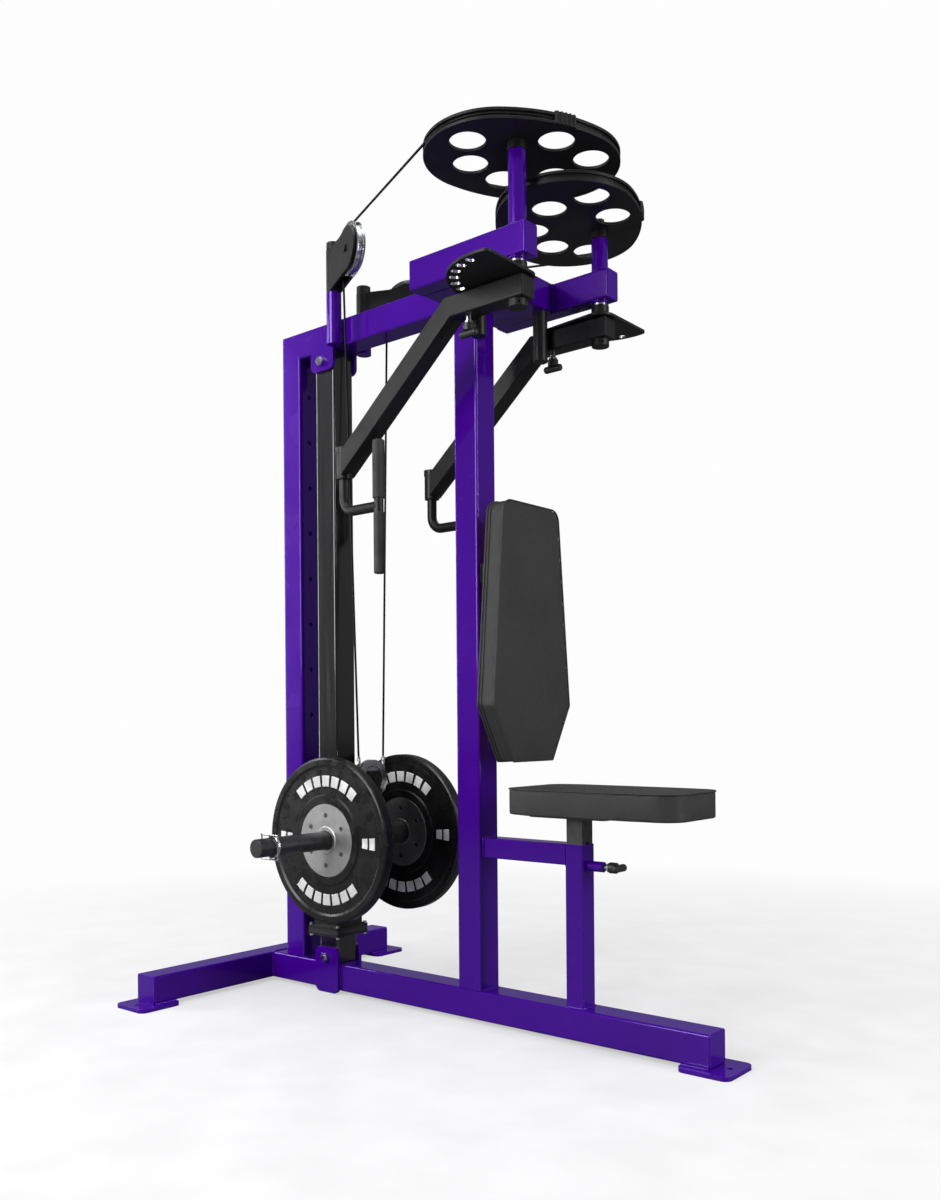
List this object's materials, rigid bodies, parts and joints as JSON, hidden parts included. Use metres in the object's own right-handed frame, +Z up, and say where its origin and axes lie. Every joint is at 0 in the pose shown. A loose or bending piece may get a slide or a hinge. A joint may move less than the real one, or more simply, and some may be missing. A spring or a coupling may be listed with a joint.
{
  "type": "plate-loaded chest fly machine",
  "caption": "Plate-loaded chest fly and rear shoulder machine: seat, back pad, swinging overhead arms, oval cams, cables and a weight carriage on a square rail.",
  "frame": {"origin": "on the floor, at the middle of the footprint", "axes": "+X is the way a seated user faces, +Y is the user's left, +Z is up"},
  "size_m": [1.6, 1.024, 2.14],
  "materials": {
    "purple_powder_coat": "gloss powder coat",
    "black_powder_coat": "satin powder coat",
    "gloss_black": "gloss",
    "chrome": "polished",
    "brushed_steel": "brushed",
    "dark_steel": "brushed",
    "zinc_steel": "zinc plated",
    "machined_aluminium": "machined",
    "bronze": "sintered",
    "black_plastic": "matte",
    "cable_coat": "smooth",
    "plate_rubber": "matte",
    "grip_rubber": "matte",
    "vinyl": "grained",
    "plywood": "raw"
  },
  "bodies": {
    "frame": {"base_main_beam": "purple_powder_coat", "base_cross_beam": "purple_powder_coat", "foot_plates": "purple_powder_coat", "rear_upright": "purple_powder_coat", "front_upright": "purple_powder_coat", "top_beam": "purple_powder_coat", "yoke": "purple_powder_coat", "tube_end_caps": "purple_powder_coat", "pulley_posts": "purple_powder_coat", "arm_stop_posts": "black_powder_coat", "shaft_sleeves": "purple_powder_coat", "shaft_bushes": "bronze", "guide_rail": "gloss_black", "guide_rail_lugs": "purple_powder_coat", "frame_bolts": "chrome", "seat_support_tube": "purple_powder_coat", "seat_post": "purple_powder_coat", "back_pad_brackets": "black_powder_coat", "back_pad_board": "plywood", "back_pad": "vinyl", "cable_drops": "cable_coat"},
    "seat": {"seat_stem": "black_powder_coat", "seat_pad": "vinyl"},
    "seat_pin": {"seat_pin": "chrome"},
    "carriage": {"carriage_sleeve": "black_powder_coat", "carriage_guides": "black_plastic", "carriage_bolts": "zinc_steel", "horn_bracket": "black_powder_coat", "weight_horn_bar": "dark_steel", "horn_end_caps": "black_plastic", "carriage_pulley_fork": "black_powder_coat"},
    "carriage_sheave": {"carriage_sheave": "machined_aluminium"},
    "right_plate": {"right_weight_plate": "plate_rubber", "right_plate_hub": "brushed_steel"},
    "left_plate": {"left_weight_plate": "plate_rubber", "left_plate_hub": "brushed_steel"},
    "right_clip": {"right_horn_clip": "chrome"},
    "left_clip": {"left_horn_clip": "chrome"},
    "right_cam": {"right_cam": "black_powder_coat", "right_cam_shaft": "zinc_steel", "right_index_plate": "black_powder_coat", "right_cable_wrap": "cable_coat"},
    "left_cam": {"left_cam": "black_powder_coat", "left_cam_shaft": "zinc_steel", "left_index_plate": "black_powder_coat", "left_cable_wrap": "cable_coat"},
    "right_arm": {"right_arm": "black_powder_coat"},
    "left_arm": {"left_arm": "black_powder_coat"},
    "right_arm_pin": {"right_arm_pin": "zinc_steel"},
    "left_arm_pin": {"left_arm_pin": "zinc_steel"},
    "right_handle": {"right_handle_bar": "black_powder_coat", "right_handle_grips": "grip_rubber"},
    "left_handle": {"left_handle_bar": "black_powder_coat", "left_handle_grips": "grip_rubber"},
    "right_pulley": {"right_pulley_bracket": "black_powder_coat", "right_cable_run": "cable_coat"},
    "left_pulley": {"left_pulley_bracket": "black_powder_coat", "left_cable_run": "cable_coat"},
    "right_top_sheave": {"right_top_sheave": "machined_aluminium"},
    "left_top_sheave": {"left_top_sheave": "machined_aluminium"}
  },
  "joints": [
    {"name": "carriage_lift", "type": "slide", "parent": "frame", "child": "carriage", "axis": [0, 0, 1], "range_m": [0, 0.38], "deforming": ["cable_drops", "right_cable_wrap", "left_cable_wrap"]},
    {"name": "right_cam_turn", "type": "hinge", "parent": "frame", "child": "right_cam", "pos_m": [0.343, -0.175, 1.96], "axis": [0, 0, 1], "range_deg": [0, 95]},
    {"name": "left_cam_turn", "type": "hinge", "parent": "frame", "child": "left_cam", "pos_m": [0.343, 0.175, 1.92], "axis": [0, 0, 1], "range_deg": [-95, 0]},
    {"name": "right_pulley_swivel", "type": "hinge", "parent": "frame", "child": "right_pulley", "pos_m": [-0.391, -0.059, 2.04], "axis": [0, 0, 1], "range_deg": [-20, 20], "deforming": ["right_cable_run"]},
    {"name": "left_pulley_swivel", "type": "hinge", "parent": "frame", "child": "left_pulley", "pos_m": [-0.391, 0.059, 1.95], "axis": [0, 0, 1], "range_deg": [-20, 20], "deforming": ["left_cable_run"]},
    {"name": "right_top_sheave_spin", "type": "hinge", "parent": "right_pulley", "child": "right_top_sheave", "pos_m": [-0.26402, -0.11303, 2.0545], "axis": [0.3915, 0.9202, 0], "range_deg": [-380, 380]},
    {"name": "left_top_sheave_spin", "type": "hinge", "parent": "left_pulley", "child": "left_top_sheave", "pos_m": [-0.26402, 0.11303, 1.9665], "axis": [-0.3915, 0.9202, 0], "range_deg": [-380, 380]},
    {"name": "carriage_sheave_spin", "type": "hinge", "parent": "carriage", "child": "carriage_sheave", "pos_m": [-0.317, 0, 0.613], "axis": [1, 0, 0], "continuous": true},
    {"name": "right_arm_adjust", "type": "hinge", "parent": "right_cam", "child": "right_arm", "pos_m": [0.343, -0.175, 1.77], "axis": [0, 0, 1], "range_deg": [0, 81]},
    {"name": "left_arm_adjust", "type": "hinge", "parent": "left_cam", "child": "left_arm", "pos_m": [0.343, 0.175, 1.77], "axis": [0, 0, 1], "range_deg": [-81, 0]},
    {"name": "right_arm_pin_slide", "type": "slide", "parent": "right_arm", "child": "right_arm_pin", "axis": [0, 0, 1], "range_m": [0, 0.012]},
    {"name": "left_arm_pin_slide", "type": "slide", "parent": "left_arm", "child": "left_arm_pin", "axis": [0, 0, 1], "range_m": [0, 0.012]},
    {"name": "right_handle_swivel", "type": "hinge", "parent": "right_arm", "child": "right_handle", "pos_m": [-0.235, -0.175, 1.44], "axis": [0, 0, 1], "range_deg": [-90, 90]},
    {"name": "left_handle_swivel", "type": "hinge", "parent": "left_arm", "child": "left_handle", "pos_m": [-0.235, 0.175, 1.44], "axis": [0, 0, 1], "range_deg": [-90, 90]},
    {"name": "right_plate_slide", "type": "slide", "parent": "carriage", "child": "right_plate", "axis": [0, -1, 0], "range_m": [0, 0.17]},
    {"name": "left_plate_slide", "type": "slide", "parent": "carriage", "child": "left_plate", "axis": [0, 1, 0], "range_m": [0, 0.17]},
    {"name": "right_clip_slide", "type": "slide", "parent": "carriage", "child": "right_clip", "axis": [0, -1, 0], "range_m": [0, 0.12]},
    {"name": "left_clip_slide", "type": "slide", "parent": "carriage", "child": "left_clip", "axis": [0, 1, 0], "range_m": [0, 0.12]},
    {"name": "seat_height", "type": "slide", "parent": "frame", "child": "seat", "axis": [0, 0, 1], "range_m": [-0.05, 0.05]},
    {"name": "seat_pin_slide", "type": "slide", "parent": "frame", "child": "seat_pin", "axis": [-1, 0, 0], "range_m": [0, 0.012]}
  ],
  "couplings": [
    {"joint": "right_cam_turn", "follows": "carriage_lift", "rad_per_m": 4.363},
    {"joint": "left_cam_turn", "follows": "carriage_lift", "rad_per_m": -4.363},
    {"joint": "right_pulley_swivel", "follows": "carriage_lift", "rad_per_m": -0.2856},
    {"joint": "left_pulley_swivel", "follows": "carriage_lift", "rad_per_m": 0.2856},
    {"joint": "right_top_sheave_spin", "follows": "carriage_lift", "rad_per_m": 15.15},
    {"joint": "left_top_sheave_spin", "follows": "carriage_lift", "rad_per_m": 15.15}
  ]
}
